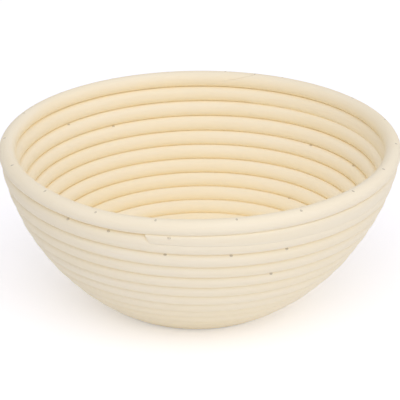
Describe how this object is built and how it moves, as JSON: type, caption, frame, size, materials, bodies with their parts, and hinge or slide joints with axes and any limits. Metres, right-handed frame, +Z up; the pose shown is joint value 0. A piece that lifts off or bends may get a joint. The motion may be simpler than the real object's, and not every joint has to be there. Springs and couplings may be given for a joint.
{
  "type": "proofing basket",
  "caption": "Round open proofing basket for bread dough, coiled from one rattan cane, with a level cane rim nailed on.",
  "frame": {"origin": "middle of the base's underside, on the surface that the basket stands on", "axes": "+Z up through the mouth; -Y is the front, where the coiled cane's cut end shows a little left of the middle; +X is to the right as seen from the front"},
  "size_m": [0.2196, 0.2196, 0.0935],
  "materials": {
    "rattan_cane": "bare peeled rattan core, pale cream, sanded smooth, fine grain along the cane",
    "nail_steel": "dull grey wire nails"
  },
  "bodies": {
    "root": {"coiled_cane": "rattan_cane", "rim_cane": "rattan_cane", "rim_nail_01": "nail_steel", "rim_nail_02": "nail_steel", "rim_nail_03": "nail_steel", "rim_nail_04": "nail_steel", "rim_nail_05": "nail_steel", "rim_nail_06": "nail_steel", "rim_nail_07": "nail_steel", "rim_nail_08": "nail_steel", "rim_nail_09": "nail_steel", "rim_nail_10": "nail_steel", "rim_nail_11": "nail_steel", "rim_nail_12": "nail_steel", "rim_nail_13": "nail_steel", "rim_nail_14": "nail_steel", "rim_nail_15": "nail_steel", "rim_nail_16": "nail_steel", "rim_nail_17": "nail_steel", "rim_nail_18": "nail_steel", "coil_nail_01": "nail_steel", "coil_nail_02": "nail_steel", "coil_nail_03": "nail_steel", "coil_nail_04": "nail_steel", "coil_nail_05": "nail_steel", "coil_nail_06": "nail_steel", "coil_nail_07": "nail_steel", "coil_nail_08": "nail_steel", "coil_nail_09": "nail_steel", "coil_nail_10": "nail_steel", "coil_nail_11": "nail_steel", "coil_nail_12": "nail_steel", "coil_nail_13": "nail_steel", "coil_nail_14": "nail_steel", "coil_nail_15": "nail_steel", "coil_nail_16": "nail_steel", "coil_nail_17": "nail_steel", "coil_nail_18": "nail_steel", "coil_nail_19": "nail_steel", "coil_nail_20": "nail_steel", "coil_nail_21": "nail_steel", "coil_nail_22": "nail_steel", "coil_nail_23": "nail_steel", "coil_nail_24": "nail_steel", "coil_nail_25": "nail_steel", "coil_nail_26": "nail_steel", "coil_nail_27": "nail_steel", "coil_nail_28": "nail_steel", "coil_nail_29": "nail_steel", "coil_nail_30": "nail_steel", "coil_nail_31": "nail_steel", "coil_nail_32": "nail_steel", "coil_nail_33": "nail_steel", "coil_nail_34": "nail_steel", "coil_nail_35": "nail_steel"}
  },
  "joints": []
}
